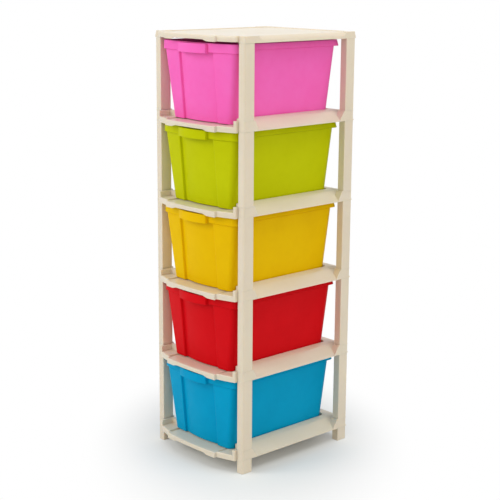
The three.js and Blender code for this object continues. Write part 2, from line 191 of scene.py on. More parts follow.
class Solid:
    """A closed body in millimetres that can be joined, cut, mirrored and placed."""

    def __init__(self, mesh: bpy.types.Mesh) -> None:
        """Takes the closed mesh that the body is."""
        self.mesh = mesh

    @classmethod
    def loft(cls, rings: Sequence[Points]) -> "Solid":
        """Body through rings of equal numbers of points, closed at its first and last ring.

        Args:
            rings: the rings, counter-clockwise seen from the side of the last one.

        Returns:
            The closed body.
        """
        count = len(rings[0])
        faces = [tuple(reversed(range(count)))]
        for low in range(0, (len(rings) - 1) * count, count):
            for i in range(count):
                j = (i + 1) % count
                faces.append((low + i, low + j, low + count + j, low + count + i))
        faces.append(tuple(range((len(rings) - 1) * count, len(rings) * count)))
        mesh = bpy.data.meshes.new("solid")
        mesh.from_pydata(np.concatenate(rings).tolist(), [], faces)
        return cls(mesh)

    @classmethod
    def bar(
        cls, outline: Points, run: Span, way: Way = Way.UP, edges: Span = (0.0, 0.0),
    ) -> "Solid":
        """Straight bar with rounded end edges.

        Args:
            outline: its section, counter-clockwise, in the way's first two axes.
            run: where it starts and ends along the way.
            way: the axis along which it runs.
            edges: radius of the edge round its start and round its end.

        Returns:
            The closed body.
        """
        levels = rounding(run[0], edges[0], True) + rounding(run[1], edges[1], False)
        rings = [ring(inset(outline, depth), height) for height, depth in levels]
        body = cls.loft([rows[:, list(way.value)] for rows in rings])
        if way is Way.ALONG:
            body.mesh.flip_normals()
        return body

    @classmethod
    def block(cls, x: Span, y: Span, z: Span) -> "Solid":
        """Plain box between limits on the three axes."""
        return cls.bar(rectangle(x, y), z)

    def _combined(self, other: "Solid", how: Combine) -> "Solid":
        """The body put together with another.

        Args:
            other: the second body.
            how: whether the two are joined, the second is cut away or what both hold is kept.

        Returns:
            The closed body that results.
        """
        things = [bpy.data.objects.new("solid", body.mesh) for body in (self, other)]
        for thing in things:
            bpy.context.scene.collection.objects.link(thing)
        cut = things[0].modifiers.new("combine", "BOOLEAN")
        cut.operation = how.value
        cut.solver = "MANIFOLD"
        cut.object = things[1]
        graph = bpy.context.evaluated_depsgraph_get()
        mesh = bpy.data.meshes.new_from_object(things[0].evaluated_get(graph), depsgraph=graph)
        for thing in things:
            bpy.data.objects.remove(thing)
        if not mesh.polygons:
            raise ValueError(f"nothing is left after {how.name.lower()}")
        return Solid(mesh)

    def __add__(self, other: "Solid") -> "Solid":
        """Both bodies as one."""
        return self._combined(other, Combine.JOIN)

    def __sub__(self, other: "Solid") -> "Solid":
        """This body without the other."""
        return self._combined(other, Combine.CUT)

    def __and__(self, other: "Solid") -> "Solid":
        """What both bodies hold."""
        return self._combined(other, Combine.SHARE)

    def placed(
        self, move: Sequence[float] = (0, 0, 0), flip: Sequence[float] = (1, 1, 1),
    ) -> "Solid":
        """Copy that is mirrored first and then moved.

        Args:
            move: along the three axes.
            flip: a sign for each axis, -1 where it is mirrored.

        Returns:
            The copy, with its faces outwards.
        """
        mesh = self.mesh.copy()
        mesh.transform(Matrix.Translation(Vector(move)) @ Matrix.Diagonal((*flip, 1.0)))
        if np.prod(flip) < 0:
            mesh.flip_normals()
        return Solid(mesh)

    def both_sides(self) -> "Solid":
        """The body joined with its mirror image across the unit's middle."""
        return self + self.placed(flip=(-1, 1, 1))

    def tidied(self) -> "Solid":
        """Merges doubled points and split flat faces.

        Returns:
            The same body.
        """
        work = bmesh.new()
        work.from_mesh(self.mesh)
        bmesh.ops.remove_doubles(work, verts=work.verts, dist=WELD)
        bmesh.ops.dissolve_degenerate(work, edges=work.edges, dist=WELD)
        bmesh.ops.dissolve_limit(work, angle_limit=FLAT_ANGLE, verts=work.verts, edges=work.edges)
        work.to_mesh(self.mesh)
        work.free()
        return self


def joined(bodies: Sequence[Solid]) -> Solid:
    """Bodies joined one after the other.

    Args:
        bodies: one or more.

    Returns:
        All of them as one body.
    """
    whole = bodies[0]
    for body in bodies[1:]:
        whole = whole + body
    return whole


@dataclass(frozen=True)
class Corner:
    """One corner of the unit, with the signs of its X and Y."""

    name: str
    x: float
    y: float

    def place(self, body: Solid) -> Solid:
        """Copy of a body drawn for the rear right corner, set at this one."""
        return body.placed(flip=(self.x, self.y, 1.0))


CORNERS = (
    Corner("front_left", -1, -1),
    Corner("front_right", 1, -1),
    Corner("rear_right", 1, 1),
    Corner("rear_left", -1, 1),
)


class Value:
    """A shader socket whose operators add the nodes of the same sum."""

    def __init__(self, tree: "Bench", socket: bpy.types.NodeSocket) -> None:
        """Takes the bench that adds the nodes and the output socket."""
        self.tree = tree
        self.socket = socket

    def _sum(self, kind: str, first: "Input", second: "Input") -> "Value":
        """Math node on two inputs."""
        return self.tree.node("ShaderNodeMath", {"operation": kind}, {0: first, 1: second})

    def __add__(self, other: "Input") -> "Value":
        """This value plus another."""
        return self._sum("ADD", self, other)

    def __radd__(self, other: "Input") -> "Value":
        """A number plus this value."""
        return self._sum("ADD", other, self)

    def __sub__(self, other: "Input") -> "Value":
        """This value less another."""
        return self._sum("SUBTRACT", self, other)

    def __rsub__(self, other: "Input") -> "Value":
        """A number less this value."""
        return self._sum("SUBTRACT", other, self)

    def __mul__(self, other: "Input") -> "Value":
        """This value times another."""
        return self._sum("MULTIPLY", self, other)

    def __rmul__(self, other: "Input") -> "Value":
        """A number times this value."""
        return self._sum("MULTIPLY", other, self)

    def between(self, low: float, high: float) -> "Value":
        """Smooth step from 0 at low to 1 at high."""
        inputs = {"Value": self, "From Min": low, "From Max": high}
        return self.tree.node("ShaderNodeMapRange", {"interpolation_type": "SMOOTHSTEP"}, inputs)


Input = Union[Value, float, tuple]


@dataclass(frozen=True)
class Layer:
    """One noise of a finish: its features to a metre and how many finer octaves it holds."""

    scale: float
    detail: float


class Bench:
    """Node tree of one material or world, with one method that adds any node."""

    def __init__(self, owner: Union[bpy.types.Material, bpy.types.World]) -> None:
        """Empties the tree of a material or world and takes it over.

        Args:
            owner: the material or world.
        """
        owner.use_nodes = True
        self.nodes = owner.node_tree.nodes
        self.links = owner.node_tree.links
        self.nodes.clear()

    def node(self, kind: str, settings: dict, inputs: dict, output: Union[int, str] = 0) -> Value:
        """Adds a node.

        Args:
            kind: the node's type.
            settings: its properties, set first.
            inputs: values or links of its sockets, by name or place.
            output: the socket that the result stands for.

        Returns:
            The chosen output, or the first input's own socket for a node without outputs.
        """
        made = self.nodes.new(kind)
        for name, value in settings.items():
            setattr(made, name, value)
        for name, value in inputs.items():
            if isinstance(value, Value):
                self.links.new(value.socket, made.inputs[name])
            else:
                made.inputs[name].default_value = value
        return Value(self, made.outputs[output] if len(made.outputs) else made.inputs[0])

    def colour_mix(self, share: Input, first: Input, second: Input) -> Value:
        """Mix of two colours by a share; its colour sockets are 6, 7 and, going out, 2."""
        inputs = {0: share, 6: first, 7: second}
        return self.node("ShaderNodeMix", {"data_type": "RGBA"}, inputs, 2)

    def noise(self, where: Value, layer: Layer) -> Value:
        """Noise from 0 to 1 over a place."""
        inputs = {"Vector": where, "Scale": layer.scale, "Detail": layer.detail}
        return self.node("ShaderNodeTexNoise", {}, inputs)


def linear(colour: str) -> tuple[float, float, float, float]:
    """Scene colour of a six-digit colour code, by the standard curve of such codes."""
    parts = [int(colour[i:i + 2], 16) / 255 for i in (0, 2, 4)]
    return (*(p / 12.92 if p <= 0.04045 else ((p + 0.055) / 1.055) ** 2.4 for p in parts), 1.0)


@dataclass(frozen=True)
class Plastic:
    """Satin moulded polypropylene of one colour.

    Cloud and flow are the uneven tone and polish that the melt leaves. Ripple is the slight
    waviness of a moulded wall and grain the fine texture of the mould; heights are metres.
    """

    name: str
    colour: str
    shade: str
    gloss: float = 0.04
    roughness: float = 0.42
    glow: float = 0.2
    glow_reach: Place = (1.0, 0.6, 0.4)
    glow_depth: float = 0.006
    cloud: Layer = Layer(9.0, 3.0)
    cloud_range: Span = (0.3, 0.75)
    cloud_share: float = 0.7
    cloud_rough: float = 0.1
    flow: Layer = Layer(60.0, 2.0)
    flow_range: Span = (0.35, 0.8)
    flow_rough: float = 0.08
    grain: Layer = Layer(900.0, 2.0)
    grain_height: float = 0.00002
    grain_strength: float = 0.5
    ripple: Layer = Layer(14.0, 1.0)
    ripple_height: float = 0.0009
    ripple_strength: float = 0.6

    def material(self) -> bpy.types.Material:
        """Makes the finish.

        Returns:
            The material, named as its slot in the record.
        """
        made = bpy.data.materials.new(self.name)
        tree = Bench(made)
        where = tree.node("ShaderNodeTexCoord", {}, {}, "Object")
        layers = (self.cloud, self.flow, self.grain, self.ripple)
        cloud, flow, grain, ripple = (tree.noise(where, layer) for layer in layers)
        clouded = cloud.between(*self.cloud_range) * self.cloud_share
        blotch = clouded + flow.between(*self.flow_range) * (1 - self.cloud_share)
        colour = tree.colour_mix(blotch, linear(self.colour), linear(self.shade))
        rough = self.roughness + (cloud - NOISE_MEAN) * self.cloud_rough
        rough = rough + (flow - NOISE_MEAN) * self.flow_rough
        wavy = tree.node("ShaderNodeBump", {}, {
            "Strength": self.ripple_strength, "Distance": self.ripple_height, "Height": ripple,
        })
        grained = tree.node("ShaderNodeBump", {}, {
            "Strength": self.grain_strength, "Distance": self.grain_height, "Height": grain,
            "Normal": wavy,
        })
        shader = tree.node("ShaderNodeBsdfPrincipled", {"subsurface_method": "RANDOM_WALK"}, {
            "Base Color": colour, "Roughness": rough, "Normal": grained,
            "Specular IOR Level": self.gloss, "Subsurface Weight": self.glow,
            "Subsurface Radius": self.glow_reach, "Subsurface Scale": self.glow_depth,
        })
        tree.node("ShaderNodeOutputMaterial", {}, {"Surface": shader})
        return made


@cache
def paint_of(finish: Plastic) -> bpy.types.Material:
    """Material of a finish, made once."""
    return finish.material()


# At a roughness of 0.3 the ivory's smoothest spots, under about 0.274, showed as dark specks
# once denoised. At 0.335 none showed.
IVORY = Plastic(
    "ivory_plastic", "e3d7c3", "dfd2bd", gloss=0.35, roughness=0.335, glow=0.3,
    glow_reach=(1.0, 0.8, 0.5), grain_height=0.000006, ripple_height=0.0003,
)
BIN_FINISHES = (
    Plastic("blue_plastic", "009fce", "0098c6", glow_reach=(0.2, 0.7, 1.0)),
    Plastic("red_plastic", "d80e18", "d00a14", glow_reach=(1.0, 0.2, 0.2)),
    Plastic("yellow_plastic", "eec000", "e8b800", glow_reach=(1.0, 0.8, 0.1)),
    Plastic("lime_plastic", "c4ca06", "bdc300", glow_reach=(0.8, 1.0, 0.1)),
    Plastic("pink_plastic", "ff70c4", "fd67bc", glow_reach=(1.0, 0.3, 0.7)),
)


@dataclass(frozen=True)
class Unit:
    """Sizes that the sub-assemblies share, and the unit's place in the row's frame."""

    half_width: float = 150.0
    half_depth: float = 170.0
    post_width: float = 18.5
    post_depth: float = 29.0
    post_radius: float = 4.5
    post_edge: float = 1.2
    runner_height: float = 14.0
    deck_drop: float = 4.0
    slide_gap: float = 0.3
    rear_rail: float = 29.5
    rail_setback: float = 21.0
    rail_inner: float = 102.5
    shell_wall: float = 2.0
    rib_wall: float = 1.5
    ribs_across: int = 3
    ribs_along: int = 2
    top_lip_drop: float = 0.8

    @property
    def post_inner(self) -> float:
        """Half the width between the posts."""
        return self.half_width - self.post_width

    @property
    def stop_face(self) -> float:
        """The rear rail's front face."""
        return self.half_depth - self.rear_rail

    @property
    def deck(self) -> float:
        """Height of a tray's deck above its underside."""
        return self.runner_height - self.deck_drop

    @property
    def rail_start(self) -> float:
        """The side rails' front end."""
        return self.rail_setback - self.half_depth

    @property
    def middle(self) -> float:
        """Place along the row's Y axis of the middle of the posts' footprint."""
        front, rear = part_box("foot_front_left")[0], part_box("foot_rear_left")[1]
        return (front.y + rear.y) / 2 / MM

    @property
    def top_foot(self) -> float:
        """Height of the top frame's underside, above the foot of its packed lip."""
        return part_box("top_frame")[0].z / MM + self.top_lip_drop

    def tray_foot(self, tier: int) -> float:
        """Height of a tray's underside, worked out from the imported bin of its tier."""
        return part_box(f"drawer_{tier}")[0].z / MM - self.slide_gap - self.runner_height

    def corner_plan(self, run: float = 0.0) -> Points:
        """Section of a piece at the rear right corner.

        Args:
            run: by which it is longer than a post, towards the unit's middle.

        Returns:
            The closed outline.
        """
        x = (self.post_inner, self.half_width)
        y = (self.half_depth - self.post_depth - run, self.half_depth)
        edge = self.post_edge
        return rectangle(x, y, (edge, edge, self.post_radius, edge), steps=5)

    def piece(
        self, name: str, body: Solid, height: float, finish: Plastic, rides: str,
    ) -> bpy.types.Object:
        """Sets a body up as the piece that stands for the node of the same name.

        Args:
            name: of the node, which the piece's name follows.
            body: in the unit's frame, with its foot at zero.
            height: at which its foot is.
            finish: its plastic, named as its slot in the record.
            rides: the body of the model that it moves with.

        Returns:
            The finished piece.
        """
        mesh = body.placed((0.0, self.middle, height)).mesh
        mesh.transform(Matrix.Scale(MM, 4))
        mesh.name = f"{name}_shape"
        mesh.materials.clear()
        mesh.materials.append(paint_of(finish))
        mesh.polygons.foreach_set("use_smooth", [True] * len(mesh.polygons))
        mesh.set_sharp_from_angle(angle=SMOOTH_ANGLE)
        made = bpy.data.objects.new(f"{name}_moulding", mesh)
        bpy.context.scene.collection.objects.link(made)
        even = made.modifiers.new("even_normals", "WEIGHTED_NORMAL")
        even.keep_sharp = True
        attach(made, rides)
        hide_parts(name)
        LOG.info("%s: %d faces", name, len(mesh.polygons))
        return made


@dataclass
class Lip:
    """Bowed front lip with two tabs and a relief between them, on the trays and the top frame.

    Its foot is at one height under the tabs, at another in the relief and at a third beyond
    the tabs, and its face steps back where the tabs end.
    """

    unit: Unit
    foot: float = 0.0
    relief: float = 0.0
    ends: float = 0.0
    end_reach: float = 7.3
    reach: float = 30.5
    tab_inner: float = 47.0
    tab_slant: float = 13.0
    tab_outer: float = 84.0
    tab_step: float = 0.4
    tab_reach: float = 26.5
    edge: float = 2.4
    roll_depth: float = 2.8
    roll_points: int = 10
    end_edge: float = 1.0
    end_radius: float = 1.0
    foot_edge: float = 0.8
    foot_land: float = 1.0
    back: float = -138.0
    line_points: tuple[int, int, int, int] = (7, 3, 4, 6)

    @property
    def tab_start(self) -> float:
        """X at which a tab's foot is at its full depth."""
        return self.tab_inner + self.tab_slant

    def _curve(self, x: float) -> Span:
        """Curve that the front line follows at X, flatter between the tabs' outer ends.

        Args:
            x: place along the front.

        Returns:
            The curve's reach where it ends, and the X of that end.
        """
        if abs(x) > self.tab_outer:
            return self.end_reach, self.unit.post_inner
        return self.tab_reach, self.tab_outer

    def face(self, x: float) -> float:
        """Front line's place at X, with the step at the tabs' outer ends."""
        reach, end = self._curve(x)
        return -self.unit.half_depth - mix(self.reach, reach, (x / end) ** 2)

    def slant(self, x: float) -> float:
        """Angle between the front line at X and the X axis."""
        reach, end = self._curve(x)
        return math.atan(2 * (self.reach - reach) * x / end**2)

    def plan(self, depth: float = 0.0) -> Points:
        """Outline from above, with its points closer where the foot and the tabs change.

        Args:
            depth: by which it is moved in, at the ends by no more than their edge.

        Returns:
            The closed outline, from the middle of the front.
        """
        sideways = min(depth, self.end_edge)
        end, radius = self.unit.post_inner - sideways, max(self.end_radius - sideways, FINE)
        last = self.unit.post_inner - self.end_edge - self.end_radius
        middle, slanted, tab, outer = self.line_points
        steps = np.concatenate([
            np.linspace(0, self.tab_inner, middle)[:-1],
            np.linspace(self.tab_inner, self.tab_start, slanted)[:-1],
            np.linspace(self.tab_start, self.tab_outer - self.tab_step, tab),
            np.linspace(self.tab_outer + self.tab_step, last, outer),
        ])
        line = [(x, self.face(x) + depth / math.cos(self.slant(x)), 0) for x in steps]
        corner = (end, self.face(end) + depth / math.cos(self.slant(end)), radius)
        right = fillet(line + [corner, (end, self.back, 0)], closed=False)
        return np.concatenate([right, right[:0:-1] * (-1, 1)])

    def roll(self, top: float, inside: float = 0.0) -> list[Level]:
        """Front edge rolling over into the deck.

        Args:
            top: height of the deck, or of the ceiling under it.
            inside: thickness between the face and the line, for the wall's inner side.

        Returns:
            The edge's heights and depths, upwards.
        """
        high, deep = self.edge - inside, self.roll_depth - inside
        return [
            (top - high * (1 - math.sin(turn)), inside + deep * (1 - math.cos(turn)))
            for turn in np.linspace(0, math.pi / 2, self.roll_points)
        ]

    def foot_line(self, plan: Points) -> Points:
        """Shape of the lip's foot.

        Args:
            plan: an outline from above.

        Returns:
            The foot's height at each of the outline's points.
        """
        reach = [0, self.tab_inner, self.tab_start, self.tab_outer, self.tab_outer + FINE]
        heights = [self.relief, self.relief, self.foot, self.foot, self.ends]
        return np.interp(np.abs(plan[:, 0]), reach, heights)

    def body(self, top: float) -> Solid:
        """The lip as a full body with a rolled upper edge.

        Args:
            top: height of its deck.

        Returns:
            The closed body.
        """
        foot = self.foot_line(self.plan())
        inner = self.unit.shell_wall + self.foot_land
        low = [(0.0, inner)] + rounding(0.0, self.foot_edge, True, steps=3)
        rings = [ring(self.plan(depth), foot + height) for height, depth in low]
        rings += [ring(self.plan(depth), height) for height, depth in self.roll(top)]
        return Solid.loft(rings)

    def hollow(self, ceiling: float) -> Solid:
        """What is cut from below, inside the lip's wall.

        Args:
            ceiling: height of the deck's underside.

        Returns:
            The cutting body.
        """
        wall = self.unit.shell_wall
        levels = [(self.foot - OVERRUN, wall)] + self.roll(ceiling, wall)
        return Solid.loft([ring(self.plan(depth), height) for height, depth in levels])


@dataclass
class Blocks:
    """Corner blocks with thin beads, each running out along the side in a gusset or a slope."""

    unit: Unit
    height: float
    beads: tuple[float, ...]
    run: float = 3.6
    front_run: float = 3.6
    gusset: float = 12.0
    gusset_wall: float = 2.2
    gusset_round: float = 0.5
    slope: float = 0.0
    slope_round: float = 2.0
    foot_round: float = 0.5
    ramp_edge: float = 0.5
    bead_height: float = 1.6
    bead_proud: float = 0.6

    def body(self) -> Solid:
        """Builds the blocks.

        Returns:
            All four as one body.
        """
        made = []
        for corner in CORNERS:
            at_rear = corner.y > 0
            run = self.run if at_rear else self.front_run
            whole = Solid.bar(self.unit.corner_plan(run), (0, self.height))
            for foot in self.beads:
                whole = whole + self._bead(foot, run)
            whole = whole + (self._slope(run) if at_rear and self.slope else self._gusset(run))
            made.append(corner.place(whole))
        return joined(made)

    def _bead(self, foot: float, run: float) -> Solid:
        """Thin half-round line round a block.

        Args:
            foot: height of its lower edge.
            run: by which the block is longer than a post.

        Returns:
            The line with the slice of the block that it is on.
        """
        plan = inset(self.unit.corner_plan(run), -self.bead_proud)
        inside = Solid.block(
            (self.unit.post_inner, self.unit.half_width + OVERRUN),
            (self._start(run), self.unit.half_depth + OVERRUN),
            (foot - OVERRUN, foot + OVERRUN),
        )
        rounds = (self.bead_proud, self.bead_proud)
        return Solid.bar(plan, (foot, foot + self.bead_height), edges=rounds) & inside

    def _start(self, run: float) -> float:
        """Place of the block's face towards the unit's middle."""
        return self.unit.half_depth - self.unit.post_depth - run

    def _ramp(self, run: float, length: float, top_round: float, steps: int) -> Points:
        """Outline in Y and Z of a ramp from under a block's upper bead to its foot.

        Args:
            run: by which the block is longer than a post.
            length: of the ramp.
            top_round: radius where the ramp leaves the block.
            steps: segments of each round.

        Returns:
            The closed outline.
        """
        start = self._start(run)
        height = self.height - self.bead_height
        return fillet([
            (start + OVERRUN, 0, 0), (start + OVERRUN, height, 0),
            (start, height, top_round), (start - length, 0, self.foot_round),
        ], steps)

    def _gusset(self, run: float) -> Solid:
        """Thin slanted gusset in the unit's side face."""
        outline = self._ramp(run, self.gusset, self.gusset_round, 3)
        x = (self.unit.half_width - self.gusset_wall, self.unit.half_width)
        return Solid.bar(outline, x, Way.ACROSS, (0, self.ramp_edge))

    def _slope(self, run: float) -> Solid:
        """Slope over the width of a rear block, down to the apron in front of it."""
        outline = self._ramp(run, self.slope, self.slope_round, 5)
        x = (self.unit.post_inner, self.unit.half_width)
        return Solid.bar(outline, x, Way.ACROSS, (self.ramp_edge, self.ramp_edge))


def ribs(unit: Unit, top: float) -> Solid:
    """Ribs under a deck, crosswise and front to rear, with one under each side rail.

    Args:
        unit: whose deck they carry.
        top: height that they reach.

    Returns:
        All the ribs as one body.
    """
    half = unit.rib_wall / 2
    wide, long = (-unit.rail_inner, unit.rail_inner), (unit.rail_start, unit.half_depth)
    across = np.linspace(*long, unit.ribs_across + 2)[1:-1]
    along = np.linspace(*wide, unit.ribs_along + 2)
    made = [Solid.block(wide, (y - half, y + half), (0, top)) for y in across]
    made += [Solid.block((x - half, x + half), long, (0, top)) for x in along]
    return joined(made)


@dataclass
class Tray:
    """Tray with side and rear rails, front lip, corner blocks, channel and a ribbed underside."""

    unit: Unit
    channel_drop: float = 1.2
    channel_half: float = 85.6
    channel_end: float = 8.0
    groove: float = 7.0
    groove_depth: float = 3.0
    groove_wall: float = 1.5
    groove_land: float = 5.0
    rail_height: float = 24.0
    rail_edge: float = 2.0
    rail_front_round: float = 1.0
    crown: Span = (104.5, 117.0)
    apron_edge: float = 1.8
    apron_points: int = 15
    rear_fall: float = 3.5
    rear_edge: float = 2.5
    rear_foot_edge: float = 0.6
    stop_round: float = 4.0
    pocket_front: float = 40.0
    pocket_radius: float = 12.0
    pocket_fillet: float = 1.2
    block_height: float = 23.5
    block_slope: float = 14.0
    tab_drop: float = 4.4
    middle_drop: float = 0.8
    end_drop: float = 3.2
    horn_width: float = 6.2
    horn_height: float = 22.6
    horn_edge: float = 0.7
    pad_inner: float = 107.5
    pad_depth: float = 8.0

    def apron(self, depth: float) -> Points:
        """Right side's curve in X and Z, from the foot up to the crown.

        Args:
            depth: by which it is moved in.

        Returns:
            The curve's points.
        """
        shares = np.linspace(1, 0, self.apron_points)
        top, both, foot = (1 - shares) ** 2, 2 * shares * (1 - shares), shares**2
        edge, height = self.unit.half_width - depth, self.rail_height - depth
        x = self.crown[0] * top + self.crown[1] * both + edge * foot
        z = height * top + height * both + self.apron_edge * foot
        return np.column_stack([x, z])

    def section(self, depth: float, foot: float) -> Points:
        """Closed outline in X and Z between both aprons."""
        right = np.concatenate([[(self.unit.half_width - depth, foot)], self.apron(depth)])
        return np.concatenate([right, right[::-1] * (-1, 1)])

    def pocket(self, grow: float, floor: float, edge: float) -> Solid:
        """Room of the bin's foot between the rails.

        Args:
            grow: by which it is wider and longer, for the wall round it.
            floor: its height.
            edge: radius of its upper edge, or zero for a plain opening.

        Returns:
            The cutting body.
        """
        unit, top = self.unit, self.rail_height
        x, radius = unit.rail_inner + grow, self.pocket_radius + grow
        y = (-unit.half_depth - self.pocket_front, unit.stop_face + grow)
        plan = rectangle((-x, x), y, (0, 0, radius, radius), steps=8)
        levels = rounding(floor, self.pocket_fillet, True, steps=3)
        if edge > 0:
            levels += [
                (top - edge * (1 - math.sin(turn)), -edge * (1 - math.cos(turn)))
                for turn in np.linspace(0, math.pi / 2, 5)
            ]
        levels.append((top + OVERRUN, levels[-1][1]))
        return Solid.loft([ring(inset(plan, depth), height) for height, depth in levels])

    def grooves(self, low: float, spread: float = 0.0) -> Solid:
        """Grooves along both edges of the channel, over the deck up to a land at its front.

        Args:
            low: height of the channel.
            spread: by how much they are wider, longer and deeper, for the wall round them.

        Returns:
            Both grooves.
        """
        middle, half = self.channel_half, self.groove / 2 + spread
        front = Lip(self.unit).face(middle) + self.groove_land - spread
        return Solid.block(
            (middle - half, middle + half), (front, self.unit.stop_face - self.pocket_radius),
            (low - self.groove_depth - spread, self.rail_height),
        ).both_sides()

    def horns(self) -> Solid:
        """Raised ends of the lip beside the front blocks, and the pads that start the rails.

        Returns:
            Both horns and both pads.
        """
        unit, edge = self.unit, self.horn_edge
        lip = Lip(unit)
        x, start = (unit.post_inner - self.horn_width, unit.post_inner), unit.rail_start
        rounds = (edge, lip.end_radius)
        front = [(place, lip.face(place), radius) for place, radius in zip(x, rounds)]
        outline = fillet(front + [(x[1], start + edge, 0), (x[0], start + edge, 0)])
        horn = Solid.bar(outline, (0, self.horn_height), edges=(0, edge))
        plan = rectangle((self.pad_inner, x[1]), (start, start + self.pad_depth), (edge, 0, 0, 0))
        pad = Solid.bar(plan, (0, self.horn_height), edges=(0, edge))
        return (horn + pad).both_sides()

    def _outside(self, lip: Lip, low: float) -> Solid:
        """Rails and lip, with the bin's room and the channel cut into them.

        Args:
            lip: the tray's front lip.
            low: height of the channel.

        Returns:
            The tray before it is hollowed from below.
        """
        unit, deck, top = self.unit, self.unit.deck, self.rail_height
        side = fillet([
            (unit.rail_start, 0, 0), (unit.half_depth, 0, self.rear_foot_edge),
            (unit.half_depth, top - self.rear_fall, self.rear_edge),
            (unit.stop_face + self.rail_edge, top, self.stop_round),
            (unit.rail_start, top, self.rail_front_round),
        ], steps=5)
        wide = (-unit.half_width - OVERRUN, unit.half_width + OVERRUN)
        rails = Solid.bar(self.section(0, 0), (unit.rail_start, unit.half_depth), Way.ALONG)
        rails = rails & Solid.bar(side, wide, Way.ACROSS)
        half, before = self.channel_half, -unit.half_depth - AHEAD
        y, z = (before, unit.rail_start + self.channel_end), (BELOW, ABOVE)
        high_lip = lip.body(deck) - Solid.block((-half, half), y, z)
        low_lip = lip.body(low) & Solid.block((-half - FINE, half + FINE), y, z)
        rails = rails - Solid.block((-half, half), (before, unit.stop_face), (low, top + OVERRUN))
        behind_lip = (-unit.half_depth - unit.slide_gap, unit.half_depth)
        under = Solid.block(wide, behind_lip, (BELOW, 0))
        pocket = self.pocket(0, deck, self.rail_edge)
        return rails + high_lip + low_lip - under - pocket - self.grooves(low)

    def _hollow(self, lip: Lip, low: float) -> Solid:
        """What is cut from below, inside the walls and between the ribs.

        Args:
            lip: the tray's front lip.
            low: height of the channel.

        Returns:
            The cutting body.
        """
        unit, wall, top = self.unit, self.unit.shell_wall, self.rail_height
        ceiling = low - wall
        y = (unit.rail_start + wall, unit.half_depth - wall)
        room = Solid.bar(self.section(wall, -OVERRUN), y, Way.ALONG)
        room = room - self.pocket(wall, ceiling, 0)
        rear_rail = Solid.block(
            (-unit.half_width - OVERRUN, unit.half_width + OVERRUN),
            (unit.stop_face - wall, unit.half_depth),
            (top - self.rear_fall - wall, top + OVERRUN),
        )
        room = room - rear_rail + lip.hollow(ceiling) - ribs(unit, top)
        return room - self.grooves(low, self.groove_wall)

    def body(self) -> Solid:
        """Builds the tray.

        Returns:
            The tray with its underside at zero.
        """
        low = self.unit.deck - self.channel_drop
        lip = Lip(self.unit, -self.tab_drop, -self.middle_drop, -self.end_drop)
        beads = (0.0, self.block_height - Blocks.bead_height)
        blocks = Blocks(self.unit, self.block_height, beads, slope=self.block_slope)
        shell = self._outside(lip, low) - self._hollow(lip, low)
        return (shell + self.horns() + blocks.body()).tidied()

    def dress(self, body: Solid, tier: int) -> None:
        """Sets a copy of the tray up as the one of a tier."""
        self.unit.piece(f"tray_{tier}", body, self.unit.tray_foot(tier), IVORY, FIXED)


